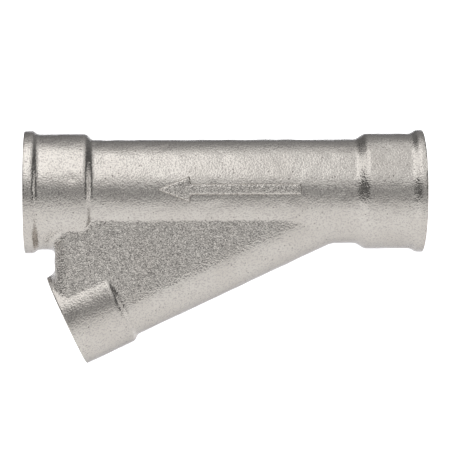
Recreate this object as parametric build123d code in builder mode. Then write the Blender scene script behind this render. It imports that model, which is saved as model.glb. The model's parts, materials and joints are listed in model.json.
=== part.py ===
from build123d import *
import os
from math import cos, radians, sin

# Y-pattern strainer: a straight 3/4 inch run with a 1/2 inch access branch at a shallow angle,
# joined by a hollow web. A perforated cartridge fills the branch and is held by a screw plug.
#
# Frame, in millimetres: the origin is the centre of the inlet port's end face. The run axis is the
# X axis, +X leaves through the inlet, -X is the outlet, +Z is up and the branch lies in the plane Y = 0.
# Places inside the branch are stated as a distance along its axis, counted from where the two axes
# cross, and a distance across it, positive towards the run.

BEYOND = 3.0                  # how far a cutting body reaches past what it cuts

# Run
RUN_LENGTH = 110.0
RUN_R = 14.5
SOCKET_R = 16.1
RIM_R = 17.05
EDGE = 0.4                    # small bevel on every end face
OUTLET_RIM = (2.7, 3.7)       # end of the rim's flat and of its slope, from the end face
OUTLET_SOCKET = (17.1, 18.7)  # end of the socket's flat and of its cone
INLET_RIM = (2.0, 3.4)
INLET_SOCKET = (16.1, 18.7)

# Branch
BRANCH_ANGLE = 25.0           # below the run, towards the outlet
CROSSING_X = -22.6
BRANCH_LENGTH = 83.8          # from the crossing to the mouth
BRANCH_R = 12.0
BRANCH_SOCKET_R = 13.3
BRANCH_SOCKET_LENGTH = 14.9
BRANCH_CONE = 1.3

# Web between run and branch
WEB_HALF = 12.0
WEB_END_X = -101.9
WEB_CORNER_R = 3.0
WEB_INSET = 0.4               # keeps the web behind the branch's mouth

# Threads are bored at their minor radius (parallel pipe threads G 3/4 and G 1/2)
PORT_THREAD_R = 12.06
PORT_THREAD_LENGTH = 14.5
BRANCH_THREAD_R = 9.316
PORT_CONE = 2.0               # run-out from the thread to the waterway

# Waterways
WATERWAY_R = 10.0
SEAT_R = 6.5                  # passage through the partition
INLET_END = 5.0               # along the branch: partition's inlet side
SEAT_AT = 8.0                 # shoulder that the cartridge presses on
OUTLET_END = 13.0             # partition's outlet side
SCREEN_BORE_R = 8.6
THREAD_STEP = 73.2            # where the screen bore ends and the branch thread starts
POCKET_HALF = 8.0
POCKET_END = 58.0             # along the branch
POCKET_END_X = -80.0          # along the run

# Flow mark, a raised arrow pointing to the outlet
MARK_LENGTH = 39.2
MARK_CENTRE_X = -54.0
MARK_CENTRE_Z = 0.4
MARK_HEAD = (9.0, 7.4)        # length and width
MARK_SHAFT = 2.8
MARK_RISE = 0.5

# Cartridge
SLACK = 0.05                  # gap at faces that bear on one another
COLLAR_R = 8.3
GASKET_THICK = 1.0
TUBE_R = 7.4
TUBE_WALL = 0.6
TUBE_TOP = 10.25
TUBE_END = 65.7
UPPER_COLLAR_END = 13.2
SOCKET_FIT = 0.02             # radial gap between the tube and its collars
MESH_R = 6.75
MESH_THICK = 0.17
LOWER_COLLAR_R = 8.2
LOWER_SKIRT = 4.0
LOWER_FLOOR_END = 67.6
HUB_HOLE_R = 4.15
HOLE_R = 1.2
HOLE_ROWS = 15
HOLES_AROUND = 12
HOLE_ROW_PITCH = 3.3
FIRST_HOLE_ROW = 15.6

# Plug
PLUG_FACE = 82.8
PLUG_THREAD_R = 9.25
NOSE_R = 8.35
NOSE_START = 68.3
GROOVE = (69.6, 71.9)
GROOVE_R = 7.2
SPIGOT_R = 4.0
SPIGOT_START = 63.8
RING_GROOVE = (64.75, 65.65)
RING_GROOVE_R = 3.7
HEX_FLATS = 10.0
HEX_DEPTH = 6.0
WASHER = (67.65, 68.25)
WASHER_R = 7.0
RING = (64.8, 65.6)
RING_INNER_R = 3.75
RING_OUTER_R = 5.6
RING_GAP = 3.0
O_RING_SECTION_R = 0.66
O_RING_CENTRE_R = 7.88
O_RING_AT = 70.75

ALONG = Vector(-cos(radians(BRANCH_ANGLE)), 0, -sin(radians(BRANCH_ANGLE)))
ACROSS = Vector(-sin(radians(BRANCH_ANGLE)), 0, cos(radians(BRANCH_ANGLE)))
CROSSING = Vector(CROSSING_X, 0, 0)

# Local X of this plane runs along the branch axis and local Y across it
BRANCH_SIDE = Plane(origin=CROSSING, x_dir=ALONG, z_dir=(0, 1, 0))
BRANCH_AXIS = Axis(CROSSING, ALONG)


def branch_point(along, across=0.0):
    """A point of the plane Y = 0 as (x, z), from its place in the branch."""
    point = CROSSING + ALONG * along + ACROSS * across
    return (point.X, point.Z)


def branch_section(along):
    """The plane square to the branch axis, facing out of the branch's mouth."""
    return Plane(origin=CROSSING + ALONG * along, x_dir=(0, 1, 0), z_dir=ALONG)


def round_body(plane, axis, *points):
    """Revolve an outline of (along, radius) points into the current part."""
    with BuildSketch(plane) as outline:
        with BuildLine():
            Polyline(*points, close=True)
        make_face()
    revolve(outline.sketch, axis=axis)


def branch_round(*points):
    round_body(BRANCH_SIDE, BRANCH_AXIS, *points)


def run_round(*points):
    round_body(Plane.XZ, Axis.X, *points)


# ---- housing -------------------------------------------------------------------------------

# The web fills the angle between the run axis and the branch axis, and stops short of the mouth
mouth_centre = branch_point(BRANCH_LENGTH)
with BuildPart() as web:
    with BuildSketch(Plane.XZ):
        with BuildLine():
            Polyline(
                (CROSSING_X, 0),
                (WEB_END_X, 0),
                (WEB_END_X, mouth_centre[1]),
                mouth_centre,
                close=True,
            )
        make_face()
    extrude(amount=WEB_HALF, both=True)
    split(bisect_by=branch_section(BRANCH_LENGTH - WEB_INSET), keep=Keep.BOTTOM)
    end_edges = web.edges().filter_by(Axis.Z).group_by(Axis.X)[0]
    fillet(end_edges, radius=WEB_CORNER_R)

mark_tip = MARK_CENTRE_X - MARK_LENGTH / 2
mark_neck = mark_tip + MARK_HEAD[0]
mark_tail = MARK_CENTRE_X + MARK_LENGTH / 2
with BuildPart() as flow_mark:
    with BuildSketch(Plane.XZ.offset(RUN_R - BEYOND)):
        with BuildLine():
            Polyline(
                (mark_tip, MARK_CENTRE_Z),
                (mark_neck, MARK_CENTRE_Z + MARK_HEAD[1] / 2),
                (mark_neck, MARK_CENTRE_Z + MARK_SHAFT / 2),
                (mark_tail, MARK_CENTRE_Z + MARK_SHAFT / 2),
                (mark_tail, MARK_CENTRE_Z - MARK_SHAFT / 2),
                (mark_neck, MARK_CENTRE_Z - MARK_SHAFT / 2),
                (mark_neck, MARK_CENTRE_Z - MARK_HEAD[1] / 2),
                close=True,
            )
        make_face()
    extrude(amount=2 * BEYOND)
    with Locations((MARK_CENTRE_X, 0, 0)):
        Cylinder(
            RUN_R + MARK_RISE,
            MARK_LENGTH + 2 * BEYOND,
            rotation=(0, 90, 0),
            mode=Mode.INTERSECT,
        )

# Each cavity on its own: the two ends of the run stop at the slanted partition
with BuildPart() as inlet_cavity:
    run_round(
        (-EDGE, 0),
        (EDGE, 0),
        (EDGE, PORT_THREAD_R + 2 * EDGE),
        (-EDGE, PORT_THREAD_R),
        (-PORT_THREAD_LENGTH, PORT_THREAD_R),
        (-PORT_THREAD_LENGTH - PORT_CONE, WATERWAY_R),
        (CROSSING_X - 2 * WATERWAY_R, WATERWAY_R),
        (CROSSING_X - 2 * WATERWAY_R, 0),
    )
    split(bisect_by=branch_section(INLET_END), keep=Keep.BOTTOM)

with BuildPart() as outlet_cavity:
    run_round(
        (-RUN_LENGTH - EDGE, 0),
        (-RUN_LENGTH - EDGE, PORT_THREAD_R + 2 * EDGE),
        (-RUN_LENGTH + EDGE, PORT_THREAD_R),
        (-RUN_LENGTH + PORT_THREAD_LENGTH, PORT_THREAD_R),
        (-RUN_LENGTH + PORT_THREAD_LENGTH + PORT_CONE, WATERWAY_R),
        (CROSSING_X, WATERWAY_R),
        (CROSSING_X, 0),
    )
    split(bisect_by=branch_section(OUTLET_END), keep=Keep.TOP)

with BuildPart() as branch_cavity:
    branch_round(
        (INLET_END - BEYOND, 0),
        (INLET_END - BEYOND, SEAT_R),
        (SEAT_AT, SEAT_R),
        (SEAT_AT, SCREEN_BORE_R),
        (THREAD_STEP, SCREEN_BORE_R),
        (THREAD_STEP, BRANCH_THREAD_R),
        (BRANCH_LENGTH - EDGE, BRANCH_THREAD_R),
        (BRANCH_LENGTH + EDGE, BRANCH_THREAD_R + 2 * EDGE),
        (BRANCH_LENGTH + EDGE, 0),
    )

with BuildPart() as web_cavity:
    with BuildSketch(Plane.XZ):
        with BuildLine():
            Polyline(
                (CROSSING_X - OUTLET_END / cos(radians(BRANCH_ANGLE)), 0),
                branch_point(OUTLET_END),
                branch_point(POCKET_END),
                (POCKET_END_X, 0),
                close=True,
            )
        make_face()
    extrude(amount=POCKET_HALF, both=True)

with BuildPart() as housing:
    run_round(
        (0, 0),
        (0, RIM_R - EDGE),
        (-EDGE, RIM_R),
        (-INLET_RIM[0], RIM_R),
        (-INLET_RIM[1], SOCKET_R),
        (-INLET_SOCKET[0], SOCKET_R),
        (-INLET_SOCKET[1], RUN_R),
        (-RUN_LENGTH + OUTLET_SOCKET[1], RUN_R),
        (-RUN_LENGTH + OUTLET_SOCKET[0], SOCKET_R),
        (-RUN_LENGTH + OUTLET_RIM[1], SOCKET_R),
        (-RUN_LENGTH + OUTLET_RIM[0], RIM_R),
        (-RUN_LENGTH + EDGE, RIM_R),
        (-RUN_LENGTH, RIM_R - EDGE),
        (-RUN_LENGTH, 0),
    )
    branch_round(
        (0, 0),
        (0, BRANCH_R),
        (BRANCH_LENGTH - BRANCH_SOCKET_LENGTH - BRANCH_CONE, BRANCH_R),
        (BRANCH_LENGTH - BRANCH_SOCKET_LENGTH, BRANCH_SOCKET_R),
        (BRANCH_LENGTH - EDGE, BRANCH_SOCKET_R),
        (BRANCH_LENGTH, BRANCH_SOCKET_R - EDGE),
        (BRANCH_LENGTH, 0),
    )
    add(web.part)
    add(flow_mark.part)
    for cavity in (inlet_cavity, outlet_cavity, branch_cavity, web_cavity):
        add(cavity.part, mode=Mode.SUBTRACT)

# ---- cartridge -----------------------------------------------------------------------------

gasket_top = SEAT_AT + SLACK
gasket_end = gasket_top + GASKET_THICK
collar_socket_r = TUBE_R + SOCKET_FIT

with BuildPart() as seat_gasket:
    branch_round(
        (gasket_top, SEAT_R),
        (gasket_end, SEAT_R),
        (gasket_end, COLLAR_R),
        (gasket_top, COLLAR_R),
    )

with BuildPart() as upper_collar:
    branch_round(
        (gasket_end, SEAT_R),
        (gasket_end, COLLAR_R - EDGE),
        (gasket_end + EDGE, COLLAR_R),
        (UPPER_COLLAR_END, COLLAR_R),
        (UPPER_COLLAR_END, collar_socket_r),
        (TUBE_TOP, collar_socket_r),
        (TUBE_TOP, SEAT_R),
    )

hole_places = []
for row in range(HOLE_ROWS):
    row_plane = branch_section(FIRST_HOLE_ROW + row * HOLE_ROW_PITCH)
    for step in range(HOLES_AROUND):
        turn = (step + (row % 2) / 2) * 360 / HOLES_AROUND
        hole_places.append(row_plane.location * Rot(0, 0, turn) * Rot(0, 90, 0))

with BuildPart() as support_tube:
    branch_round(
        (TUBE_TOP, TUBE_R - TUBE_WALL),
        (TUBE_TOP, TUBE_R),
        (TUBE_END, TUBE_R),
        (TUBE_END, TUBE_R - TUBE_WALL),
    )
    with Locations(*hole_places):
        Cylinder(
            HOLE_R,
            TUBE_R + BEYOND,
            align=(Align.CENTER, Align.CENTER, Align.MIN),
            mode=Mode.SUBTRACT,
        )

with BuildPart() as mesh_sleeve:
    branch_round(
        (TUBE_TOP + SLACK, MESH_R - MESH_THICK),
        (TUBE_TOP + SLACK, MESH_R),
        (TUBE_END - SLACK, MESH_R),
        (TUBE_END - SLACK, MESH_R - MESH_THICK),
    )

with BuildPart() as lower_collar:
    branch_round(
        (TUBE_END - LOWER_SKIRT, collar_socket_r),
        (TUBE_END - LOWER_SKIRT, LOWER_COLLAR_R),
        (LOWER_FLOOR_END - EDGE, LOWER_COLLAR_R),
        (LOWER_FLOOR_END, LOWER_COLLAR_R - EDGE),
        (LOWER_FLOOR_END, HUB_HOLE_R),
        (TUBE_END, HUB_HOLE_R),
        (TUBE_END, collar_socket_r),
    )

# ---- plug ----------------------------------------------------------------------------------

with BuildPart() as plug:
    branch_round(
        (SPIGOT_START, 0),
        (SPIGOT_START, SPIGOT_R - EDGE),
        (SPIGOT_START + EDGE, SPIGOT_R),
        (RING_GROOVE[0], SPIGOT_R),
        (RING_GROOVE[0], RING_GROOVE_R),
        (RING_GROOVE[1], RING_GROOVE_R),
        (RING_GROOVE[1], SPIGOT_R),
        (NOSE_START, SPIGOT_R),
        (NOSE_START, NOSE_R - EDGE),
        (NOSE_START + EDGE, NOSE_R),
        (GROOVE[0], NOSE_R),
        (GROOVE[0], GROOVE_R),
        (GROOVE[1], GROOVE_R),
        (GROOVE[1], NOSE_R),
        (THREAD_STEP + SLACK, NOSE_R),
        (THREAD_STEP + SLACK, PLUG_THREAD_R - EDGE),
        (THREAD_STEP + SLACK + EDGE, PLUG_THREAD_R),
        (PLUG_FACE - EDGE, PLUG_THREAD_R),
        (PLUG_FACE, PLUG_THREAD_R - EDGE),
        (PLUG_FACE, 0),
    )
    with BuildSketch(branch_section(PLUG_FACE)):
        RegularPolygon(HEX_FLATS / 2, 6, major_radius=False)
    extrude(amount=-HEX_DEPTH, mode=Mode.SUBTRACT)

with BuildPart() as plug_o_ring:
    with BuildSketch(BRANCH_SIDE):
        with Locations((O_RING_AT, O_RING_CENTRE_R)):
            Circle(O_RING_SECTION_R)
    revolve(axis=BRANCH_AXIS)

with BuildPart() as slip_washer:
    branch_round(
        (WASHER[0], HUB_HOLE_R),
        (WASHER[1], HUB_HOLE_R),
        (WASHER[1], WASHER_R),
        (WASHER[0], WASHER_R),
    )

with BuildPart() as retaining_ring:
    with BuildSketch(branch_section(RING[0])):
        Circle(RING_OUTER_R)
        Circle(RING_INNER_R, mode=Mode.SUBTRACT)
        with Locations((0, RING_OUTER_R)):
            Rectangle(RING_GAP, 2 * RING_OUTER_R, mode=Mode.SUBTRACT)
    extrude(amount=RING[1] - RING[0])

# ---- files ---------------------------------------------------------------------------------

pieces = {
    "housing": housing,
    "seat_gasket": seat_gasket,
    "upper_collar": upper_collar,
    "support_tube": support_tube,
    "mesh_sleeve": mesh_sleeve,
    "lower_collar": lower_collar,
    "plug": plug,
    "plug_o_ring": plug_o_ring,
    "slip_washer": slip_washer,
    "retaining_ring": retaining_ring,
}
os.makedirs("parts", exist_ok=True)
for name, piece in pieces.items():
    piece.part.label = name
    export_step(piece.part, f"parts/{name}.step")
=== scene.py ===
import json
import math
import bmesh
import bpy
import numpy as np
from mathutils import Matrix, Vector
from mathutils.kdtree import KDTree


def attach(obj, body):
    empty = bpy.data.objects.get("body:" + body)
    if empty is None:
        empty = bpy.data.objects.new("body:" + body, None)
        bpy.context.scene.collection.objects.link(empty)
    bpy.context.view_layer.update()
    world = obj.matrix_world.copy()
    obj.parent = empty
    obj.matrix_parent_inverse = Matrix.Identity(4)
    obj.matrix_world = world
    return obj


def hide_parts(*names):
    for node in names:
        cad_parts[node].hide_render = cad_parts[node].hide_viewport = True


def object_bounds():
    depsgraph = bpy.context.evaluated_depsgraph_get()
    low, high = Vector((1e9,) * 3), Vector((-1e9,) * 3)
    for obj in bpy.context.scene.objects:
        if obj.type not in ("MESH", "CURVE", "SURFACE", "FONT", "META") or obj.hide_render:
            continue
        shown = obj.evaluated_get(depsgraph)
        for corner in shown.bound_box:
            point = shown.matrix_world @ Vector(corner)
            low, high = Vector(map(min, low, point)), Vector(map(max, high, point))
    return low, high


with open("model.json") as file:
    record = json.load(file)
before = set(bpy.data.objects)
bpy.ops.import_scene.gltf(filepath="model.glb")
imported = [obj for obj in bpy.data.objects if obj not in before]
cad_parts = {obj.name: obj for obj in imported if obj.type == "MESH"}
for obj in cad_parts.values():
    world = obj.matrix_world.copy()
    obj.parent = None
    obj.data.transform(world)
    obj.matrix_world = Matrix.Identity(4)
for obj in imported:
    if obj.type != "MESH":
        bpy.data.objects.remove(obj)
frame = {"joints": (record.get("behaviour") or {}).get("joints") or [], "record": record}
CAD_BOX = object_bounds()
RECORD = frame["record"]

# Shapes are worked out in millimetres in the row frame, and become metres when a mesh is made.

# ---- places and sizes ------------------------------------------------------------------------

MM = 0.001
WELD = 0.001                # points nearer than this are one
CREASE_ANGLE = 35           # degrees
AROUND = 96                 # points round a turned piece
SEED = 11

MOUNTS = {mount["name"]: mount for mount in RECORD["mounts"]}
JOINTS = {joint["name"]: joint for joint in frame["joints"]}
INLET = np.array(MOUNTS["inlet_thread"]["pos_m"]) / MM
OUTLET = np.array(MOUNTS["outlet_thread"]["pos_m"]) / MM
RUN_LENGTH = INLET[0] - OUTLET[0]
PORT_THREAD_R = MOUNTS["inlet_thread"]["dims"]["r_mm"]

# Branch: places "along" count from where its axis crosses the run, "across" is towards the run
ALONG = np.array(JOINTS["plug_turn"]["axis"])
ACROSS = np.array((ALONG[2], 0.0, -ALONG[0]))
SIDE = np.array((0.0, 1.0, 0.0))
PLUG_FACE_POINT = np.array(JOINTS["plug_turn"]["pos_m"]) / MM
CROSSING = PLUG_FACE_POINT - ALONG * (PLUG_FACE_POINT[2] / ALONG[2])
PLUG_FACE = float((PLUG_FACE_POINT - CROSSING) @ ALONG)
PLUG_RECESS = 1.0
MOUTH = PLUG_FACE + PLUG_RECESS

# Forging. A slope's two ends are given from the face of its port.
RUN_R, SOCKET_R, RIM_R = 14.5, 16.1, 17.05
OUTLET_RIM_SLOPE, OUTLET_SOCKET_SLOPE = (2.7, 3.7), (17.1, 18.7)
INLET_RIM_SLOPE, INLET_SOCKET_SLOPE = (2.0, 3.4), (16.1, 18.7)
BRANCH_R, BRANCH_SOCKET_R = 12.0, 13.3
BRANCH_SOCKET_AT = MOUTH - 14.9
BRANCH_SLOPE_AT = BRANCH_SOCKET_AT - 1.3
WEB_HALF = 12.0
WEB_END_X = -101.7
WEB_CORNER_R = 4.6
BRANCH_WEB_FILLET, RUN_WEB_FILLET, CROTCH_FILLET = 3.5, 2.0, 6.0
CROTCH_FADE_AT, CROTCH_FADE = 12, 14    # along the branch
SKIN_DEPTH = 0.09           # how far the skin lies inside the plain forms, on average
EDGE = 0.55                 # rounding of machined edges
MACHINED_OFF = 0.8          # the forging stands this far past its machined faces

# Whitworth pipe threads, 14 per inch, on run and branch
PITCH = 25.4 / 14
THREAD_DEPTH = 0.6403 * PITCH
BRANCH_THREAD_R = 9.316
PORT_THREAD_LENGTH = 14.5
PORT_ENTRY_R = 13.7
BRANCH_ENTRY_R = 10.9
THREAD_PLAY = 0.08

# Bores. The partition lies between INLET_END and OUTLET_END along the branch.
WATERWAY_R = 10.0
WATERWAY_AT = 16.5          # from a port's face, where its thread has run out
SCREEN_BORE_R = 8.6
THREAD_STEP = 73.2
SEAT_AT = 8.0
SEAT_R = 6.5
INLET_END = 5.0
OUTLET_END = 13.0
INLET_DEPTH, OUTLET_DEPTH = 45, 80
PASSAGE_START = INLET_END - 3
POCKET_HALF = 8.0
POCKET_END = 58.0
POCKET_END_X = -80.0

# Flow mark: an arrow that points to the outlet
MARK_TIP_X, MARK_NECK_X, MARK_TAIL_X = -73.6, -64.6, -34.4
MARK_Z = 0.4
MARK_HEAD, MARK_SHAFT = 3.7, 1.5    # half widths
MARK_RISE = 0.75

# Cartridge and plug
COLLAR_R = 8.3
GASKET = (8.05, 9.05)
COLLAR_SOCKET_R = 7.42
TUBE_R, TUBE_INNER_R = 7.4, 6.8
TUBE_TOP, TUBE_END = 10.25, 65.7
UPPER_COLLAR_END = 13.2
LOWER_COLLAR_R = 8.2
LOWER_COLLAR_TOP, LOWER_COLLAR_END = 61.7, 67.6
HUB_HOLE_R = 4.15
HOLE_R = 1.2
HOLE_ROWS, HOLES_AROUND = 15, 12
HOLE_ROW_PITCH, FIRST_HOLE_ROW = 3.3, 15.6
MESH_PITCH = 0.8
WIRE_R = 0.11
SHANK_START = 73.35         # just clear of the step in the branch's bore
NOSE_R, NOSE_START = 8.35, 68.3
GROOVE, GROOVE_R = (69.6, 71.9), 7.2
SPIGOT_R, SPIGOT_START = 4.0, 63.8
RING_GROOVE, RING_GROOVE_R = (64.75, 65.65), 3.7
HEX_FLATS, HEX_DEPTH = 10.0, 6.0
WASHER, WASHER_R = (67.65, 68.25), 7.0
RING, RING_INNER_R, RING_OUTER_R, RING_GAP = (64.8, 65.6), 3.75, 5.6, 3.0
O_RING_AT, O_RING_CENTRE_R, O_RING_SECTION_R = 70.75, 7.88, 0.66


# ---- numbers ---------------------------------------------------------------------------------

def soft_profile(points, sigma):
    """A radius as a function of place, from corner points, with its corners rounded off."""
    spacing = 0.05
    places = np.arange(points[0][0], points[-1][0] + spacing, spacing)
    radii = np.interp(places, *zip(*points))
    reach = int(4 * sigma / spacing)
    kernel = np.exp(-0.5 * (np.arange(-reach, reach + 1) * spacing / sigma) ** 2)
    padded = np.pad(radii, reach, mode="edge")
    return places, np.convolve(padded, kernel / kernel.sum(), mode="valid")


def smooth_union(a, b, blend):
    """The smaller of two fields, rounded where both are near zero."""
    near = np.clip(blend - np.abs(a - b), 0, None) / blend
    return np.minimum(a, b) - near * near * blend / 4


def waves(points, count, shortest, longest, rng):
    """A smooth random field of about unit size: sine waves in random directions."""
    total = np.zeros(len(points))
    for _ in range(count):
        direction = rng.normal(size=3)
        direction /= np.linalg.norm(direction)
        wavelength = shortest * (longest / shortest) ** rng.random()
        phase = rng.random() * 2 * math.pi
        total += np.sin(points @ (direction * 2 * math.pi / wavelength) + phase)
    return total / math.sqrt(count / 2)


# ---- meshes ----------------------------------------------------------------------------------

def face_outwards(shape):
    """Turn the faces of a closed bmesh so that it has a positive volume."""
    bmesh.ops.recalc_face_normals(shape, faces=shape.faces)
    if shape.calc_volume(signed=True) < 0:
        bmesh.ops.reverse_faces(shape, faces=shape.faces)


def mesh_object(name, points, faces, *materials):
    """A mesh object from points in millimetres: joined up where points meet, and facing outwards."""
    mesh = bpy.data.meshes.new(name)
    mesh.from_pydata((np.asarray(points) * MM).tolist(), [], [list(map(int, f)) for f in faces])
    shape = bmesh.new()
    shape.from_mesh(mesh)
    bmesh.ops.remove_doubles(shape, verts=shape.verts, dist=WELD * MM)
    face_outwards(shape)
    shape.to_mesh(mesh)
    shape.free()
    piece = bpy.data.objects.new(name, mesh)
    bpy.context.scene.collection.objects.link(piece)
    for material in materials:
        mesh.materials.append(material)
    return piece


def apply_modifiers(piece):
    """Turn a piece's modifiers into its mesh."""
    depsgraph = bpy.context.evaluated_depsgraph_get()
    result = bpy.data.meshes.new_from_object(piece.evaluated_get(depsgraph))
    piece.modifiers.clear()
    old = piece.data
    piece.data = result
    bpy.data.meshes.remove(old)


def combine(piece, tool, operation):
    """Boolean of a piece with a tool object, which is then removed."""
    modifier = piece.modifiers.new("cut", "BOOLEAN")
    modifier.operation = operation
    modifier.object = tool
    modifier.solver = "MANIFOLD"
    apply_modifiers(piece)
    bpy.data.objects.remove(tool)


def round_edges(piece, width, segments):
    """Round every edge of a piece."""
    modifier = piece.modifiers.new("round", "BEVEL")
    modifier.width = width * MM
    modifier.segments = segments
    modifier.limit_method = "NONE"
    apply_modifiers(piece)


def finish_piece(piece, body, node):
    """Shade a finished piece, let it ride on its body and stand for its CAD node."""
    piece.data.shade_smooth()
    piece.data.set_sharp_from_angle(angle=math.radians(CREASE_ANGLE))
    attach(piece, body)
    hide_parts(node)


def grid_quads(rows, columns, close_rows=False):
    """Quads of a grid of points. Each row is a loop, and so is each column if close_rows is set."""
    row = np.arange(rows if close_rows else rows - 1)[:, None]
    column = np.arange(columns)[None, :]
    below, ahead = (row + 1) % rows, (column + 1) % columns
    corners = (row * columns + column, row * columns + ahead,
               below * columns + ahead, below * columns + column)
    return np.stack(np.broadcast_arrays(*corners), axis=-1).reshape(-1, 4)


def repeated(faces, points_each, copies):
    """The same faces for each of several blocks of points."""
    offsets = np.arange(copies)[:, None, None] * points_each
    return (np.asarray(faces)[None] + offsets).reshape(-1, len(faces[0]))


def round_points(origin, axis, places, radii, turns):
    """Points round an axis; turns are whole turns about it, counted from SIDE."""
    axis = np.asarray(axis, float)
    places, radii, turns = (x[..., None] for x in np.broadcast_arrays(places, radii, turns))
    angle = 2 * math.pi * turns
    ring = np.cos(angle) * SIDE + np.sin(angle) * np.cross(axis, SIDE)
    return origin + places * axis + radii * ring


def branch_points(along, radii, turns):
    return round_points(CROSSING, ALONG, along, radii, turns)


def spun(origin, axis, outline, around, shape=None):
    """Points and faces of an outline of (place, radius) turned about an axis.

    An outline that starts and ends on the axis makes a solid, any other is taken as a closed loop.
    shape(places, radii, turns) may change the radii, as for a thread."""
    places, radii = np.array(outline, float).T
    turns = np.arange(around)[None, :] / around
    places, radii = places[:, None], np.repeat(radii[:, None], around, axis=1)
    if shape is not None:
        radii = shape(places, radii, turns)
    points = round_points(origin, axis, places, radii, turns)
    solid = outline[0][1] == 0 and outline[-1][1] == 0
    return points.reshape(-1, 3), grid_quads(len(outline), around, close_rows=not solid)


def branch_spun(outline, around, shape=None):
    return spun(CROSSING, ALONG, outline, around, shape)


def rounded(corners, radius, steps=4):
    """A closed outline of (place, radius) corners with every corner rounded by a small curve."""
    result = []
    count = len(corners)
    for i in range(count):
        before, here, after = (np.array(corners[(i + k) % count], float) for k in (-1, 0, 1))
        back, ahead = before - here, after - here
        reach = min(radius, np.linalg.norm(back) / 2.5, np.linalg.norm(ahead) / 2.5)
        start = here + back / np.linalg.norm(back) * reach
        end = here + ahead / np.linalg.norm(ahead) * reach
        for share in np.linspace(0, 1, steps + 1):
            curve = (1 - share) ** 2 * start + 2 * share * (1 - share) * here + share ** 2 * end
            result.append(tuple(curve))
    return result


def net_points(field, low, high, step):
    """Where a field is zero on a grid: one point in each cell it passes through, and quads."""
    axes = [np.arange(a, b + step, step) for a, b in zip(low, high)]
    shape = tuple(len(axis) for axis in axes)
    grid = np.stack(np.meshgrid(*axes, indexing="ij"), axis=-1)
    values = field(grid.reshape(-1, 3)).reshape(shape)
    cells = tuple(n - 1 for n in shape)

    def corner(offset):
        return tuple(slice(o, n + o) for o, n in zip(offset, cells))

    total = np.zeros(cells + (3,))
    count = np.zeros(cells)
    for near in np.ndindex(2, 2, 2):
        for axis in range(3):
            if near[axis]:
                continue
            far = tuple(o + (i == axis) for i, o in enumerate(near))
            va, vb = values[corner(near)], values[corner(far)]
            change = (va < 0) != (vb < 0)
            share = np.where(change, va / np.where(change, va - vb, 1), 0)[..., None]
            crossing = grid[corner(near)] * (1 - share) + grid[corner(far)] * share
            total += crossing * change[..., None]
            count += change
    active = count > 0
    index = np.full(cells, -1)
    index[active] = np.arange(active.sum())
    return total[active] / count[active][:, None], net_quads(values, index)


def net_quads(values, index):
    """A quad round every grid edge on which the values change sign."""
    quads = []
    for axis in range(3):
        u, v = (axis + 1) % 3, (axis + 2) % 3
        first = [slice(1, -1)] * 3
        first[axis] = slice(0, -1)
        second = list(first)
        second[axis] = slice(1, None)
        base = np.argwhere((values[tuple(first)] < 0) != (values[tuple(second)] < 0)) + 1
        base[:, axis] -= 1
        around = []
        for du, dv in ((0, 0), (-1, 0), (-1, -1), (0, -1)):
            cell = base.copy()
            cell[:, u] += du
            cell[:, v] += dv
            around.append(index[tuple(cell.T)])
        quads.append(np.stack(around, axis=1))
    return np.concatenate(quads)


def slope(field, points):
    """A field's gradient at some points."""
    nudge = 0.02
    return np.stack(
        [(field(points + nudge * axis) - field(points - nudge * axis)) / (2 * nudge)
         for axis in np.eye(3)], axis=1)


def onto_surface(points, field):
    """Move points along the field's gradient until the field is zero."""
    farthest = 0.3
    for _ in range(4):
        gradient = slope(field, points)
        steep = np.maximum((gradient ** 2).sum(axis=1), 0.25)
        shift = -field(points)[:, None] * gradient / steep[:, None]
        points = points + np.clip(shift, -farthest, farthest)
    return points


def dented(points, field, count, rng):
    """Press shallow dents and nicks into a surface, at random places on it."""
    tree = KDTree(len(points))
    for i, point in enumerate(points):
        tree.insert(point, i)
    tree.balance()
    normals = slope(field, points)
    depths = np.zeros(len(points))
    for centre in rng.choice(len(points), count, replace=False):
        radius = 0.5 + 0.9 * rng.random() ** 2
        depth = 0.10 * radius * (0.5 + rng.random())
        for _, i, distance in tree.find_range(points[centre], 2.5 * radius):
            press = depth * math.exp(-(distance / radius) ** 2)
            depths[i] = max(depths[i], press)
    return points - normals * depths[:, None]


# ---- threads ---------------------------------------------------------------------------------

def thread_height(places, turns):
    """0 at the root and 1 at the crest of a right-handed thread, rounded at both."""
    steepness = 1.45
    phase = (places / PITCH - turns) % 1.0
    ramp = np.clip((np.abs(2 * phase - 1) - 0.5) * steepness + 0.5, 0, 1)
    return ramp * ramp * (3 - 2 * ramp)


def thread_rows(length):
    """How many rings of points a thread of some length needs."""
    rows_each_turn = 11
    return int(length / PITCH * rows_each_turn)


def bored_thread(minor_r, length, entry_r):
    """Cuts a thread into the stretch of an outline at the bore's minor radius, below its face.

    The thread fades out over its last turn, and a chamfer opens its mouth."""
    taper = 0.9

    def shape(places, radii, turns):
        fade = np.clip((length + places) / PITCH, 0, 1)
        cut = radii + THREAD_DEPTH * fade * thread_height(places, turns)
        chamfer = entry_r + places * taper
        return np.where(np.isclose(radii, minor_r), np.maximum(cut, chamfer), radii)
    return shape


def plug_thread(places, radii, turns):
    """Raises the plug's thread from the stretch at its root, to run in the branch's thread.

    It runs out at its inner end a little before the branch's thread does, and is chamfered."""
    lag = 0.3
    chamfer_r = NOSE_R + 0.95
    run_out = np.clip((places - THREAD_STEP) / PITCH - lag, 0, 1)
    height = THREAD_DEPTH * run_out * thread_height(places - MOUTH, turns)
    crest = BRANCH_THREAD_R - THREAD_PLAY + height
    from_end = np.minimum(PLUG_FACE - places, places - SHANK_START)
    chamfered = np.minimum(crest, chamfer_r + from_end)
    return np.where(np.isclose(radii, BRANCH_THREAD_R), chamfered, radii)


# ---- materials -------------------------------------------------------------------------------

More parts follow.
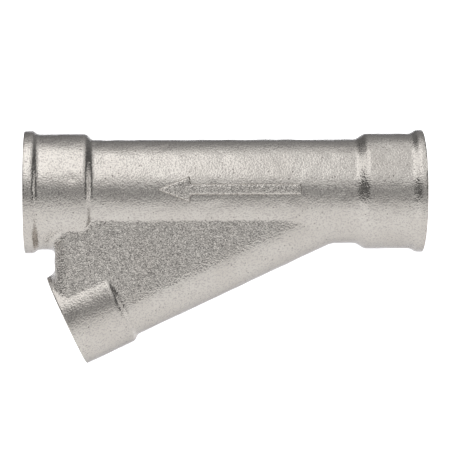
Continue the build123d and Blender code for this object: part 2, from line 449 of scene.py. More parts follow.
class Nodes:
    """The nodes of a material or of the world, under construction."""

    def __init__(self, tree):
        self.tree = tree
        self.coordinates = tree.nodes.new("ShaderNodeTexCoord").outputs

    def set(self, socket, value):
        if isinstance(value, bpy.types.NodeSocket):
            self.tree.links.new(value, socket)
        else:
            socket.default_value = value

    def node(self, kind, inputs, **settings):
        made = self.tree.nodes.new(kind)
        for key, value in settings.items():
            setattr(made, key, value)
        for key, value in inputs.items():
            self.set(made.inputs[key], value)
        return made

    def ramp(self, value, low, high, out_low=0.0, out_high=1.0):
        inputs = {"Value": value, "From Min": low, "From Max": high,
                  "To Min": out_low, "To Max": out_high}
        return self.node("ShaderNodeMapRange", inputs).outputs[0]

    def math(self, operation, a, b):
        return self.node("ShaderNodeMath", {0: a, 1: b}, operation=operation).outputs[0]


class Shader(Nodes):
    """A material under construction."""

    def __init__(self, name, metallic=0.0):
        self.material = bpy.data.materials.new(name)
        self.material.use_nodes = True
        super().__init__(self.material.node_tree)
        self.surface = self.tree.nodes["Principled BSDF"]
        self.surface.inputs["Metallic"].default_value = metallic
        self.place = self.coordinates["Object"]

    def surface_set(self, name, value):
        self.set(self.surface.inputs[name], value)

    def scaled(self, per_mm, stretch=(1, 1, 1), turn=(0, 0, 0)):
        """Object space in units of 1 / per_mm millimetres, stretched and turned."""
        scale = tuple(s * per_mm / MM for s in stretch)
        inputs = {"Vector": self.place, "Scale": scale, "Rotation": turn}
        return self.node("ShaderNodeMapping", inputs).outputs[0]

    def noise(self, place, detail=3.0, roughness=0.55):
        inputs = {"Vector": place, "Scale": 1.0, "Detail": detail, "Roughness": roughness}
        return self.node("ShaderNodeTexNoise", inputs).outputs["Fac"]

    def cells(self, place):
        inputs = {"Vector": place, "Scale": 1.0}
        return self.node("ShaderNodeTexVoronoi", inputs).outputs["Distance"]

    def vector_math(self, operation, a, b, output="Vector"):
        made = self.node("ShaderNodeVectorMath", {0: a, 1: b}, operation=operation)
        return made.outputs[output]

    def mix(self, share, a, b):
        made = self.node("ShaderNodeMix", {}, data_type="RGBA")
        self.set(made.inputs["Factor"], share)
        self.set(made.inputs["A"], a)
        self.set(made.inputs["B"], b)
        return made.outputs["Result"]

    def bump(self, height, strength, distance, normal=None):
        inputs = {"Height": height, "Strength": strength, "Distance": distance * MM}
        if normal is not None:
            inputs["Normal"] = normal
        return self.node("ShaderNodeBump", inputs).outputs[0]


def blasted_nickel(name, grain_height):
    """Nickel plate over a shot-blasted forging: satin, with a small grain.

    The colour is nearly even, so the grain shows only where the surroundings change."""
    shader = Shader(name, metallic=1.0)
    grain = shader.noise(shader.scaled(2.2), detail=1.0, roughness=0.5)
    fine = shader.noise(shader.scaled(5.0), detail=1.0)
    patches = shader.ramp(shader.noise(shader.scaled(0.10)), 0.35, 0.65)
    pits = shader.ramp(shader.cells(shader.scaled(0.55)), 0.05, 0.13)
    colour = shader.mix(patches, (0.77, 0.735, 0.685, 1), (0.72, 0.68, 0.63, 1))
    colour = shader.mix(shader.ramp(grain, 0.36, 0.50), (0.60, 0.56, 0.53, 1), colour)
    colour = shader.mix(pits, (0.35, 0.31, 0.29, 1), colour)
    shader.surface_set("Base Color", colour)
    shader.surface_set("Specular Tint", (0.5, 0.5, 0.52, 1))
    shader.surface_set("Roughness", shader.ramp(patches, 0.0, 1.0, 0.06, 0.10))

    normal = shader.bump(grain, 1.0, grain_height)
    normal = shader.bump(fine, 1.0, 0.018, normal)
    normal = shader.bump(pits, 1.0, 0.05, normal)
    shader.surface_set("Normal", normal)
    return shader.material


def turned_nickel(name, origin, axis):
    """Nickel plate over a turned surface: tool marks run round the axis, on faces and bores."""
    shader = Shader(name, metallic=1.0)
    offset = shader.vector_math("SUBTRACT", shader.place, tuple(origin * MM))
    along = shader.vector_math("DOT_PRODUCT", offset, tuple(axis), "Value")
    length = shader.vector_math("LENGTH", offset, (0, 0, 0), "Value")
    squares = shader.math("SUBTRACT", shader.math("MULTIPLY", length, length),
                          shader.math("MULTIPLY", along, along))
    radius = shader.math("SQRT", shader.math("MAXIMUM", squares, 0.0), 0.0)
    rings = shader.node("ShaderNodeCombineXYZ", {0: along, 1: radius}).outputs[0]
    marks = shader.noise(shader.vector_math("MULTIPLY", rings, (6 / MM, 6 / MM, 1)), detail=2.0)
    tone = shader.ramp(shader.noise(shader.scaled(0.25)), 0.3, 0.7)
    colour = shader.mix(tone, (0.74, 0.71, 0.66, 1), (0.66, 0.63, 0.58, 1))
    colour = shader.mix(shader.ramp(marks, 0.35, 0.65), (0.58, 0.545, 0.50, 1), colour)
    shader.surface_set("Base Color", colour)
    stain = shader.noise(shader.scaled(0.8))
    shader.surface_set("Roughness", shader.ramp(stain, 0.3, 0.7, 0.18, 0.32))
    shader.surface_set("Normal", shader.bump(marks, 0.5, 0.03))
    return shader.material


def stainless(name, roughness, tool_marks):
    shader = Shader(name, metallic=1.0)
    tone = shader.ramp(shader.noise(shader.scaled(0.35)), 0.3, 0.7)
    colour = shader.mix(tone, (0.64, 0.635, 0.63, 1), (0.54, 0.54, 0.545, 1))
    shader.surface_set("Base Color", colour)
    grain = shader.noise(shader.scaled(2.0, tool_marks), detail=4.0)
    shader.surface_set("Roughness", shader.ramp(grain, 0.3, 0.7, roughness, roughness + 0.12))
    shader.surface_set("Normal", shader.bump(grain, 0.4, 0.02))
    return shader.material


def rubber():
    shader = Shader("black_rubber")
    tone = shader.noise(shader.scaled(1.2))
    dust = shader.ramp(shader.noise(shader.scaled(5.0)), 0.55, 0.75)
    colour = shader.mix(tone, (0.010, 0.010, 0.011, 1), (0.030, 0.030, 0.030, 1))
    shader.surface_set("Base Color", shader.mix(dust, colour, (0.06, 0.058, 0.055, 1)))
    shader.surface_set("Roughness", shader.ramp(tone, 0.3, 0.7, 0.40, 0.58))
    shader.surface_set("Normal", shader.bump(shader.noise(shader.scaled(5.0)), 0.3, 0.02))
    return shader.material


def gasket_fibre():
    shader = Shader("white_gasket")
    tone = shader.noise(shader.scaled(1.5))
    shader.surface_set(
        "Base Color", shader.mix(tone, (0.80, 0.78, 0.72, 1), (0.64, 0.61, 0.55, 1)))
    shader.surface_set("Roughness", shader.ramp(tone, 0.3, 0.7, 0.5, 0.7))
    shader.surface_set("Normal", shader.bump(shader.noise(shader.scaled(4.0)), 0.4, 0.03))
    return shader.material


BLASTED = blasted_nickel("blasted_nickel", 0.095)
BLASTED_WEB = blasted_nickel("blasted_nickel_web", 0.33)
TURNED_RUN = turned_nickel("turned_nickel_run", INLET, (1, 0, 0))
TURNED_BRANCH = turned_nickel("turned_nickel_branch", CROSSING, ALONG)
SHEET = stainless("stainless_sheet", 0.20, (0.2, 1, 1))
WIRE = stainless("stainless_wire", 0.28, (1, 1, 1))
RUBBER = rubber()
FIBRE = gasket_fibre()


# ---- housing ---------------------------------------------------------------------------------

# Radius along the run and along the branch; both go on a little past their ends
RUN_PROFILE = soft_profile([
    (-RUN_LENGTH - 3, RIM_R),
    (-RUN_LENGTH + OUTLET_RIM_SLOPE[0], RIM_R), (-RUN_LENGTH + OUTLET_RIM_SLOPE[1], SOCKET_R),
    (-RUN_LENGTH + OUTLET_SOCKET_SLOPE[0], SOCKET_R), (-RUN_LENGTH + OUTLET_SOCKET_SLOPE[1], RUN_R),
    (-INLET_SOCKET_SLOPE[1], RUN_R), (-INLET_SOCKET_SLOPE[0], SOCKET_R),
    (-INLET_RIM_SLOPE[1], SOCKET_R), (-INLET_RIM_SLOPE[0], RIM_R),
    (3, RIM_R)], 0.32)
BRANCH_PROFILE = soft_profile([
    (-5, BRANCH_R), (BRANCH_SLOPE_AT, BRANCH_R),
    (BRANCH_SOCKET_AT, BRANCH_SOCKET_R), (MOUTH + 5, BRANCH_SOCKET_R)], 0.35)


def run_form(points):
    """Distance from the run's surface, and the way out from it."""
    x, y, z = points.T
    radius = np.maximum(np.hypot(y, z), 1e-6)
    outward = np.stack([np.zeros_like(x), y / radius, z / radius], axis=1)
    return radius - np.interp(x, *RUN_PROFILE), outward


def branch_form(points):
    """The same for the branch, which ends just past its machined face."""
    offset = points - CROSSING
    along, across, y = offset @ ALONG, offset @ ACROSS, points[:, 1]
    radius = np.maximum(np.hypot(across, y), 1e-6)
    outward = (across[:, None] * ACROSS + y[:, None] * SIDE) / radius[:, None]
    limits = (-along, along - MOUTH - MACHINED_OFF)
    return np.maximum.reduce([radius - np.interp(along, *BRANCH_PROFILE), *limits]), outward


def web_form(points):
    """The web's two flat sides and its end, which meet in rounded corners."""
    x, y, z = points.T
    offset = points - CROSSING
    flat, end = np.abs(y) - WEB_HALF, WEB_END_X - x
    past_flat = np.clip(flat + WEB_CORNER_R, 0, None)
    past_end = np.clip(end + WEB_CORNER_R, 0, None)
    corner = np.maximum(np.hypot(past_flat, past_end), 1e-6)
    distance = np.minimum(np.maximum(flat, end), -WEB_CORNER_R) + corner
    limits = (z, -(offset @ ACROSS), offset @ ALONG - MOUTH + EDGE)
    outward = np.stack([-past_end, np.sign(y) * past_flat, np.zeros_like(x)], axis=1)
    return np.maximum.reduce([distance, *limits]), outward / corner[:, None]


def forging_field(points):
    """Below zero inside the housing's forged form, before machining.

    Fillets grow with the angle between the surfaces, so tangent ones stay as they are."""
    run, run_out = run_form(points)
    branch, branch_out = branch_form(points)
    web, web_out = web_form(points)
    least = 1e-3
    turn = np.clip(1 - (web_out * branch_out).sum(axis=1), 0, 1)
    body = smooth_union(branch, web, BRANCH_WEB_FILLET * turn + least)
    on_web = web < branch
    body_out = np.where(on_web[:, None], web_out, branch_out)
    turn = np.clip(1 - (run_out * body_out).sum(axis=1), 0, 1)
    along = (points - CROSSING) @ ALONG
    crotch = CROTCH_FILLET * np.clip(1 - (along - CROTCH_FADE_AT) / CROTCH_FADE, 0, 1)
    blend = np.where(on_web, RUN_WEB_FILLET, crotch) * turn + least
    return smooth_union(run, body, blend) + forged_skin(points)


def forged_skin(points):
    """The slight waviness of a forged and blasted skin, all of it inwards."""
    rng = np.random.default_rng(SEED)
    broad = 0.026 * waves(points, 12, 6, 16, rng)
    fine = 0.010 * waves(points, 14, 1.8, 4, rng)
    return SKIN_DEPTH + broad + fine


def blank_field(points):
    """The forging with its run closed just past the machined faces."""
    middle = RUN_LENGTH / 2
    run_end = np.abs(points[:, 0] + middle) - middle - MACHINED_OFF
    return np.maximum(forging_field(points), run_end)


def flow_mark():
    """A raised arrow with rounded edges, bent round the run and rooted below its skin."""
    root, edge, cut_height, cut_length = 1.2, 0.65, 0.5, 1.5
    corners = [(MARK_TIP_X, 0), (MARK_NECK_X, MARK_HEAD), (MARK_NECK_X, MARK_SHAFT),
               (MARK_TAIL_X, MARK_SHAFT), (MARK_TAIL_X, -MARK_SHAFT), (MARK_NECK_X, -MARK_SHAFT),
               (MARK_NECK_X, -MARK_HEAD)]
    count = len(corners)
    heights = (RUN_R - root, RUN_R + MARK_RISE - 0.06)
    points = [(x, height, z) for height in heights for x, z in corners]
    faces = [tuple(range(count)), tuple(range(count, 2 * count))]
    faces += [(i, (i + 1) % count, count + (i + 1) % count, count + i) for i in range(count)]
    arrow = mesh_object("flow_mark", points, faces, BLASTED)
    round_edges(arrow, edge, 3)
    shape = bmesh.new()
    shape.from_mesh(arrow.data)
    for axis, low, high, step in ((2, -MARK_HEAD, MARK_HEAD, cut_height),
                                  (0, MARK_TIP_X, MARK_TAIL_X, cut_length)):
        normal = Vector([float(i == axis) for i in range(3)])
        for cut in np.arange(low + step / 2, high, step):
            parts = list(shape.verts) + list(shape.edges) + list(shape.faces)
            bmesh.ops.bisect_plane(
                shape, geom=parts, plane_co=normal * cut * MM, plane_no=normal, dist=1e-7)
    for vertex in shape.verts:
        radius, z = vertex.co.y / MM, vertex.co.z / MM
        lift = radius - RUN_R
        bent = -(math.sqrt(RUN_R ** 2 - z ** 2) + lift)
        vertex.co = Vector((vertex.co.x / MM, bent, z + MARK_Z)) * MM
    face_outwards(shape)
    shape.to_mesh(arrow.data)
    shape.free()
    return arrow


def port_cutter(name, origin, axis, face_r, minor_r, length, entry_r, rest, around):
    """Everything that machining takes away at one port: past its face, its edge and its bore.

    rest is the outline below the thread, as (depth, radius) from the port's face."""
    clear = 4.0
    reach = face_r + clear
    turn = np.linspace(0, math.pi / 2, 5)
    outline = [(clear, 0), (clear, reach), (-EDGE, reach), (-EDGE, face_r)]
    outline += [(-EDGE + EDGE * math.sin(a), face_r - EDGE + EDGE * math.cos(a)) for a in turn[1:]]
    outline += [(0.0, entry_r + 0.02)]
    outline += [(-depth, minor_r) for depth in np.linspace(0.0, length, thread_rows(length))]
    outline += [(-depth, radius) for depth, radius in rest]
    outline += [(outline[-1][0], 0)]
    shape = bored_thread(minor_r, length, entry_r)
    points, faces = spun(origin, axis, outline, around, shape)
    return mesh_object(name, points, faces, TURNED_RUN)


def half_space(along, towards):
    """A big block that starts at a plane square to the branch axis."""
    half = 100
    centre = CROSSING + ALONG * (along + towards * half)
    signs = [(i, j, k) for i in (-1, 1) for j in (-1, 1) for k in (-1, 1)]
    points = [centre + half * (i * ALONG + j * SIDE + k * ACROSS) for i, j, k in signs]
    faces = [(0, 1, 3, 2), (4, 6, 7, 5), (0, 4, 5, 1), (2, 3, 7, 6), (0, 2, 6, 4), (1, 5, 7, 3)]
    return mesh_object("half_space", points, faces, TURNED_RUN)


def run_cutter(name, origin, axis, depth, partition, towards):
    """One end of the run, up to the slanted partition."""
    rest = [(WATERWAY_AT, WATERWAY_R), (depth, WATERWAY_R)]
    cutter = port_cutter(name, origin, axis, RIM_R, PORT_THREAD_R, PORT_THREAD_LENGTH,
                         PORT_ENTRY_R, rest, AROUND)
    combine(cutter, half_space(partition, towards), "DIFFERENCE")
    return cutter


def branch_cutter():
    """The branch's thread, the screen's bore, the seat and the passage through the partition."""
    rest = [(MOUTH - THREAD_STEP, SCREEN_BORE_R), (MOUTH - SEAT_AT, SCREEN_BORE_R),
            (MOUTH - SEAT_AT, SEAT_R), (MOUTH - PASSAGE_START, SEAT_R)]
    return port_cutter("branch_cutter", CROSSING + ALONG * MOUTH, ALONG, BRANCH_SOCKET_R,
                       BRANCH_THREAD_R, MOUTH - THREAD_STEP - 0.1, BRANCH_ENTRY_R, rest, 88)


def pocket_cutter():
    """The cored space between the two bores."""
    profile = [
        CROSSING + np.array((OUTLET_END / ALONG[0], 0.0, 0.0)),
        CROSSING + ALONG * OUTLET_END,
        CROSSING + ALONG * POCKET_END,
        np.array((POCKET_END_X, 0.0, 0.0))]
    points = [corner + side * POCKET_HALF * SIDE for side in (-1, 1) for corner in profile]
    faces = [(0, 1, 2, 3), (7, 6, 5, 4), (0, 4, 5, 1), (1, 5, 6, 2), (2, 6, 7, 3), (3, 7, 4, 0)]
    pocket = mesh_object("pocket_cutter", points, faces, TURNED_RUN)
    round_edges(pocket, 1.8, 4)
    return pocket


def paint_housing(housing):
    """The turned finish for every face below the forged skin, and a rougher grain on the web."""
    below_skin, flat_margin = 0.22, 0.6
    mesh = housing.data
    centres = np.zeros(len(mesh.polygons) * 3)
    mesh.polygons.foreach_get("center", centres)
    centres = centres.reshape(-1, 3) / MM
    mesh.materials.clear()
    for material in (BLASTED, BLASTED_WEB, TURNED_RUN, TURNED_BRANCH):
        mesh.materials.append(material)
    along = (centres - CROSSING) @ ALONG
    web, run, branch = (form(centres)[0] for form in (web_form, run_form, branch_form))
    on_web = (web < run) & (web < branch + 0.02)
    beside_web = (np.abs(centres[:, 1]) > WEB_HALF - flat_margin) & (run > 0.1)
    rough = on_web | beside_web & (along < BRANCH_SLOPE_AT)
    turned = forging_field(centres) < -below_skin
    choice = np.where(turned, 2 + (along > THREAD_STEP - 2), rough)
    mesh.polygons.foreach_set("material_index", choice.astype(np.int32))


def make_housing():
    """The forging, with its dents and its raised mark, and then everything that is cut from it."""
    step = 0.56
    dents = 260
    low = np.array((OUTLET[0] - 1.4, -18.2, CAD_BOX[0][2] / MM - 1.6))
    high = np.array((INLET[0] + 1.4, 18.2, 18.2))
    points, quads = net_points(blank_field, low, high, step)
    points = onto_surface(points, blank_field)
    points = dented(points, blank_field, dents, np.random.default_rng(SEED + 1))
    housing = mesh_object("housing_forging", points, quads, BLASTED)
    combine(housing, flow_mark(), "UNION")
    cutters = (
        run_cutter("inlet_cutter", INLET, (1, 0, 0), INLET_DEPTH, INLET_END, 1),
        run_cutter("outlet_cutter", OUTLET, (-1, 0, 0), OUTLET_DEPTH, OUTLET_END, -1),
        branch_cutter(),
        pocket_cutter())
    for cutter in cutters:
        combine(housing, cutter, "DIFFERENCE")
    paint_housing(housing)
    finish_piece(housing, "housing", "housing")


# ---- cartridge -------------------------------------------------------------------------------

def make_ring(name, corners, radius, material, body, node):
    points, faces = branch_spun(rounded(corners, radius), AROUND)
    finish_piece(mesh_object(name, points, faces, material), body, node)


def make_collars():
    upper = [(GASKET[1], SEAT_R), (GASKET[1], COLLAR_R), (UPPER_COLLAR_END, COLLAR_R),
             (UPPER_COLLAR_END, COLLAR_SOCKET_R), (TUBE_TOP, COLLAR_SOCKET_R), (TUBE_TOP, SEAT_R)]
    make_ring("upper_end_collar", upper, 0.3, SHEET, "cartridge", "upper_collar")
    lower = [(LOWER_COLLAR_TOP, COLLAR_SOCKET_R), (LOWER_COLLAR_TOP, LOWER_COLLAR_R),
             (LOWER_COLLAR_END, LOWER_COLLAR_R), (LOWER_COLLAR_END, HUB_HOLE_R),
             (TUBE_END, HUB_HOLE_R), (TUBE_END, COLLAR_SOCKET_R)]
    make_ring("lower_end_collar", lower, 0.3, SHEET, "cartridge", "lower_collar")
    gasket = [(GASKET[0], SEAT_R), (GASKET[0], COLLAR_R), (GASKET[1], COLLAR_R),
              (GASKET[1], SEAT_R)]
    make_ring("face_gasket", gasket, 0.22, FIBRE, "cartridge", "seat_gasket")


def make_support_tube():
    """Perforated sheet rolled into a tube: a grid of cells, each with a hole with soft edges."""
    soft = 0.07
    sides = 16
    square = np.clip(4 - np.abs((np.arange(sides) + 8) % sides - 8), -2, 2)
    row = np.arange(HOLE_ROWS).repeat(HOLES_AROUND)
    column = np.tile(np.arange(HOLES_AROUND), HOLE_ROWS)
    hole_along = FIRST_HOLE_ROW + row * HOLE_ROW_PITCH
    hole_turn = (column + (row % 2) / 2) / HOLES_AROUND
    edge_along = hole_along[:, None] + np.roll(square, 4) * HOLE_ROW_PITCH / 4
    edge_turn = hole_turn[:, None] + square / (4 * HOLES_AROUND)
    loops = [branch_points(edge_along, TUBE_R, edge_turn)]
    angle = np.arange(sides) * 2 * math.pi / sides
    for tube_r, hole_r in ((TUBE_R, HOLE_R + soft), (TUBE_R - soft, HOLE_R),
                           (TUBE_INNER_R + soft, HOLE_R), (TUBE_INNER_R, HOLE_R + soft)):
        turn = np.arcsin(hole_r * np.cos(angle) / tube_r) / (2 * math.pi)
        along = hole_along[:, None] + hole_r * np.sin(angle)
        loops.append(branch_points(along, tube_r, hole_turn[:, None] + turn))
    loops.append(branch_points(edge_along, TUBE_INNER_R, edge_turn))
    cells = np.stack(loops, axis=1)
    cell_faces = grid_quads(len(loops), sides)
    points = [cells.reshape(-1, 3)]
    faces = [repeated(cell_faces, len(loops) * sides, len(cells))]

    # A plain band at each end
    around = 4 * HOLES_AROUND
    first_edge = FIRST_HOLE_ROW - HOLE_ROW_PITCH / 2
    last_edge = FIRST_HOLE_ROW + (HOLE_ROWS - 0.5) * HOLE_ROW_PITCH
    for edge, end in ((first_edge, TUBE_TOP), (last_edge, TUBE_END)):
        inset = soft * np.sign(edge - end)
        outline = np.array([
            (edge, TUBE_R), (end + inset, TUBE_R), (end, TUBE_R - soft),
            (end, TUBE_INNER_R + soft), (end + inset, TUBE_INNER_R), (edge, TUBE_INNER_R)])
        band = branch_points(outline[:, :1], outline[:, 1:], np.arange(around)[None, :] / around)
        faces.append(grid_quads(len(outline), around) + sum(len(p) for p in points))
        points.append(band.reshape(-1, 3))
    tube = mesh_object("perforated_tube", np.concatenate(points), np.concatenate(faces), SHEET)
    finish_piece(tube, "cartridge", "support_tube")


def wire_mesh(lines, across, closed):
    """Points and faces of round wires along several lines; across is square to each line."""
    sides = 5
    if closed:
        tangents = np.roll(lines, -1, axis=1) - np.roll(lines, 1, axis=1)
    else:
        tangents = np.gradient(lines, axis=1)
    normals = np.cross(tangents, across)
    normals /= np.linalg.norm(normals, axis=-1, keepdims=True)
    angle = np.arange(sides) * 2 * math.pi / sides
    ring = np.cos(angle)[:, None] * normals[:, :, None] + np.sin(angle)[:, None] * across[:, :, None]
    points = lines[:, :, None] + WIRE_R * ring
    count, length = lines.shape[:2]
    faces = repeated(grid_quads(length, sides, closed), length * sides, count).tolist()
    if not closed:
        first = np.arange(sides)
        for end in (first[::-1], first + (length - 1) * sides):
            faces += repeated([end], length * sides, count).tolist()
    return points.reshape(-1, 3), faces


def make_mesh_sleeve():
    """Plain woven wire inside the support tube: each wire goes over one and under the next."""
    middle_r = TUBE_INNER_R - 2 * WIRE_R - 0.02
    swing_height = 1.03 * WIRE_R
    start, end = TUBE_TOP + 0.2, TUBE_END - 0.2
    around = 2 * round(math.pi * middle_r / MESH_PITCH)
    rows = int((end - start) / MESH_PITCH)
    steps = 2
    ring_along = start + (np.arange(rows) + 0.5) * (end - start) / rows

    # Lengthways wires
    t = np.arange(rows * steps + 1) / steps
    which = np.arange(around)
    swing = swing_height * np.cos(math.pi * (t[None, :] - 0.5 + which[:, None]))
    turns = (which[:, None] / around) + 0 * swing
    lines = branch_points(start + t[None, :] * (end - start) / rows, middle_r + swing, turns)
    sideways = branch_points(0, 1.0, turns + 0.25) - CROSSING
    points, faces = wire_mesh(lines, sideways, closed=False)

    # Wires round the sleeve pass on the other side of each
    t = np.arange(around * steps) / steps
    swing = -swing_height * np.cos(math.pi * (t[None, :] + np.arange(rows)[:, None]))
    lines = branch_points(ring_along[:, None], middle_r + swing, t[None, :] / around)
    more_points, more_faces = wire_mesh(lines, np.broadcast_to(ALONG, lines.shape), closed=True)
    faces += [[index + len(points) for index in face] for face in more_faces]
    points = np.concatenate([points, more_points])
    finish_piece(mesh_object("woven_screen", points, faces, WIRE),
                 "cartridge", "mesh_sleeve")


# ---- plug ------------------------------------------------------------------------------------

def hex_cutter():
    """The plug's key socket: a hexagon with a drilled bottom."""
    corner_r = HEX_FLATS / math.sqrt(3)
    above, drill = 2.0, 0.9
    turns = np.arange(6) / 6
    loops = [branch_points(PLUG_FACE + above, 0, turns)]
    loops += [branch_points(along, corner_r, turns)
              for along in (PLUG_FACE + above, PLUG_FACE - HEX_DEPTH)]
    loops.append(branch_points(PLUG_FACE - HEX_DEPTH - drill, 0, turns))
    faces = grid_quads(len(loops), 6)
    return mesh_object("hex_cutter", np.concatenate(loops), faces, TURNED_BRANCH)


def mouth_cutter():
    """The cone that chamfers the key socket's mouth."""
    corner_r = HEX_FLATS / math.sqrt(3) + 0.25
    outline = [(PLUG_FACE + 1, 0), (PLUG_FACE + 1, corner_r + 1.0), (PLUG_FACE - 2, corner_r - 2.0),
               (PLUG_FACE - 2, 0)]
    return mesh_object("mouth_cutter", *branch_spun(outline, 72), TURNED_BRANCH)


def make_plug():
    small, tiny = 0.3, 0.1
    outline = [(SPIGOT_START, 0), (SPIGOT_START, SPIGOT_R - EDGE), (SPIGOT_START + EDGE, SPIGOT_R)]
    outline += [(RING_GROOVE[0], SPIGOT_R), (RING_GROOVE[0], RING_GROOVE_R),
                (RING_GROOVE[1], RING_GROOVE_R), (RING_GROOVE[1], SPIGOT_R)]
    outline += [(NOSE_START - small, SPIGOT_R), (NOSE_START, SPIGOT_R + small),
                (NOSE_START, NOSE_R - EDGE), (NOSE_START + EDGE, NOSE_R)]
    outline += [(GROOVE[0] - tiny, NOSE_R), (GROOVE[0], NOSE_R - tiny), (GROOVE[0], GROOVE_R),
                (GROOVE[1], GROOVE_R), (GROOVE[1], NOSE_R - tiny), (GROOVE[1] + tiny, NOSE_R)]
    outline += [(SHANK_START - tiny / 2, NOSE_R)]
    rows = thread_rows(PLUG_FACE - SHANK_START)
    outline += [(along, BRANCH_THREAD_R) for along in np.linspace(SHANK_START, PLUG_FACE, rows)]
    outline += [(PLUG_FACE, 0)]
    points, faces = branch_spun(outline, AROUND, plug_thread)
    plug = mesh_object("access_plug", points, faces, TURNED_BRANCH)
    combine(plug, hex_cutter(), "DIFFERENCE")
    combine(plug, mouth_cutter(), "DIFFERENCE")
    finish_piece(plug, "plug", "plug")


def make_o_ring():
    """A moulded ring with its faint parting line inside and outside."""
    sides, line_height, line_sharpness = 24, 0.02, 40
    angle = np.arange(sides) * 2 * math.pi / sides
    line = line_height * np.cos(angle) ** line_sharpness
    section = O_RING_SECTION_R - line_height + line
    outline = [(O_RING_AT + r * math.sin(a), O_RING_CENTRE_R + r * math.cos(a))
               for r, a in zip(section, angle)]
    points, faces = branch_spun(outline, AROUND)
    finish_piece(mesh_object("plug_seal_ring", points, faces, RUBBER),
                 "plug", "plug_o_ring")


def make_washer():
    corners = [(WASHER[0], HUB_HOLE_R), (WASHER[0], WASHER_R), (WASHER[1], WASHER_R),
               (WASHER[1], HUB_HOLE_R)]
    make_ring("washer_under_collar", corners, 0.16, SHEET, "plug", "slip_washer")


def make_retaining_ring():
    """An open spring ring: two lugs with plier holes at its gap, and thickest opposite them."""
    gap_turn = 0.25
    lug_r, hole_r = RING_INNER_R + 1.0, 0.42
    open_turn = math.asin(RING_GAP / 2 / lug_r) / (2 * math.pi)
    lug_turn = open_turn + 0.052
    steps = np.linspace(open_turn, 1 - open_turn, 90)
    from_gap = np.minimum(steps, 1 - steps)
    lug = 1 / (1 + np.exp((from_gap - lug_turn - 0.035) * 160))
    body_r = RING_INNER_R + 0.85 + 0.45 * (1 - np.cos(2 * math.pi * steps)) / 2
    outer = body_r + (RING_OUTER_R - body_r) * lug
    soft = 0.08
    turns = gap_turn + steps
    levels = ((RING[0], soft), (RING[0] + soft, 0), (RING[1] - soft, 0), (RING[1], soft))
    sides = [branch_points(along, outer - inset, turns) for along, inset in levels]
    sides += [branch_points(along, RING_INNER_R + inset, turns) for along, inset in levels[::-1]]
    points = np.stack(sides, axis=1)
    count = len(sides)
    faces = grid_quads(len(steps), count).tolist()
    faces += [list(range(count)), list(range((len(steps) - 1) * count, len(steps) * count))]
    ring = mesh_object("spring_clip", points.reshape(-1, 3), faces, SHEET)
    for side in (-1, 1):
        centre = branch_points(0.0, lug_r, gap_turn + side * lug_turn)
        outline = [(RING[0] - 1, 0), (RING[0] - 1, hole_r), (RING[1] + 1, hole_r), (RING[1] + 1, 0)]
        hole = mesh_object("clip_hole", *spun(centre, ALONG, outline, 20), SHEET)
        combine(ring, hole, "DIFFERENCE")
    finish_piece(ring, "plug", "retaining_ring")


# ---- stage, lights and camera ----------------------------------------------------------------

def pale_sweep():
    """White paper whose colour is painted darker towards the front as painted shade, and which glows
    as painted light: dimly on the floor, most at its back, where it is the backdrop.
    """
    shader = Shader("pale_sweep")
    place = shader.node("ShaderNodeSeparateXYZ", {"Vector": shader.place}).outputs
    # Painted shade: the paper's colour darkens from 0.96 at the back to 0.26 at the front.
    tone = shader.ramp(place["Y"], -0.7, -0.14, 0.26, 0.96)
    paper_grey_with_painted_shade = shader.node("ShaderNodeCombineColor", {0: tone, 1: tone, 2: tone}).outputs[0]
    shader.surface_set("Base Color", paper_grey_with_painted_shade)
    shader.surface_set("Roughness", 0.8)
    shader.surface_set("Emission Color", (1, 1, 1, 1))
    # Painted light: the sweep glows, most at the back and in the middle, less to the sides.
    sideways = shader.ramp(shader.math("ABSOLUTE", place["X"], 0.0), 0.4, 0.9, 1.0, 0.25)
    glow = shader.ramp(place["Y"], 0.2, 0.75, 0.29, 1.05)
    shader.surface_set("Emission Strength", shader.math("MULTIPLY", glow, sideways))
    return shader.material


def make_stage():
    """A pale floor that sweeps up behind the object."""
    half, front, back, height, bend = 2.2, -0.95, 0.9, 0.48, 0.3
    floor = CAD_BOX[0][2] - 0.16
    outline = [(front, floor)]
    for angle in np.linspace(0, math.pi / 2, 13):
        outline.append((back - bend + bend * math.sin(angle), floor + bend - bend * math.cos(angle)))
    outline.append((back, floor + height))
    shape = bmesh.new()
    rows = [[shape.verts.new((x, y, z)) for x in (-half, half)] for y, z in outline]
    for near, far in zip(rows, rows[1:]):
        shape.faces.new((near[0], near[1], far[1], far[0]))
    mesh = bpy.data.meshes.new("sweep")
    shape.to_mesh(mesh)
    shape.free()
    mesh.shade_smooth()
    sweep = bpy.data.objects.new("sweep", mesh)
    bpy.context.scene.collection.objects.link(sweep)
    mesh.materials.append(pale_sweep())


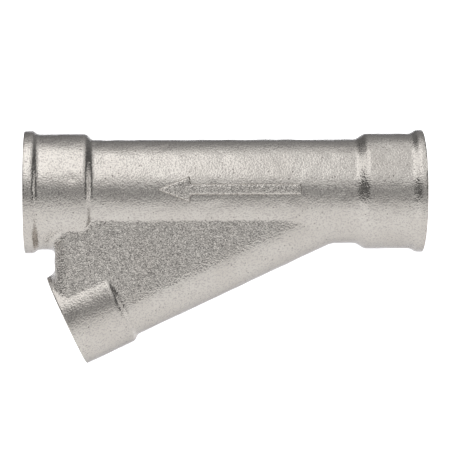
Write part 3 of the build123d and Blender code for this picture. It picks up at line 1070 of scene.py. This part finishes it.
def area_light(name, place, facing, size, radiance):
    """A softbox of even radiance, level from left to right."""
    light = bpy.data.lights.new(name, "AREA")
    light.shape = "RECTANGLE"
    light.size, light.size_y = size
    light.energy = radiance * math.pi * size[0] * size[1]
    lamp = bpy.data.objects.new(name, light)
    lamp.location = place
    lamp.visible_camera = False
    lamp.rotation_euler = Vector(facing).to_track_quat("-Z", "Y").to_euler()
    bpy.context.scene.collection.objects.link(lamp)


def make_lights():
    """A wide softbox overhead with a hotter part on the left, and a card on each side."""
    area_light("top_wide", (-0.30, -0.31, 0.56), (0, 0.31, -0.59), (1.30, 1.49), 0.32)
    area_light("top_left", (-0.50, -0.31, 0.54), (0, 0.31, -0.57), (0.95, 0.80), 0.56)
    area_light("left_card", (-0.80, 0.30, 0.48), (0.8, -0.3, -0.5), (0.7, 0.6), 0.42)
    area_light("right_card", (0.80, 0.05, -0.02), (-1, 0, 0), (0.9, 0.86), 0.6)


def make_world():
    """A dim room, brightest a little to the right of straight ahead and darkest at the sides."""
    brightest_x = 0.12
    world = bpy.data.worlds.new("room")
    bpy.context.scene.world = world
    world.use_nodes = True
    nodes = Nodes(world.node_tree)
    background = world.node_tree.nodes["Background"].inputs
    split = nodes.node("ShaderNodeSeparateXYZ", {0: nodes.coordinates["Generated"]}).outputs
    sideways = nodes.math("ABSOLUTE", nodes.math("SUBTRACT", split["X"], brightest_x), 0.0)
    nodes.set(background["Strength"], nodes.ramp(sideways, 0.06, 0.6, 0.37, 0.11))
    nodes.set(background["Color"], (0.99, 0.995, 1, 1))


def make_camera():
    """The camera stands level with the object, a little towards the outlet."""
    data = bpy.data.cameras.new("camera")
    camera = bpy.data.objects.new("camera", data)
    bpy.context.scene.collection.objects.link(camera)
    bpy.context.scene.camera = camera
    data.sensor_width = 36
    data.lens = 206.2
    aim = Vector((-0.0547, 0, -0.00925))
    yaw = math.radians(2.1)
    distance = 0.713
    camera.location = aim + Vector((-math.sin(yaw), -math.cos(yaw), 0)) * distance
    camera.rotation_euler = (aim - camera.location).to_track_quat("-Z", "Y").to_euler()
    camera.rotation_euler.rotate_axis("Z", math.radians(-0.2))


make_housing()
make_collars()
make_support_tube()
make_mesh_sleeve()
make_plug()
make_o_ring()
make_washer()
make_retaining_ring()
make_stage()
make_world()
make_lights()
make_camera()
bpy.context.scene.view_settings.view_transform = "Standard"
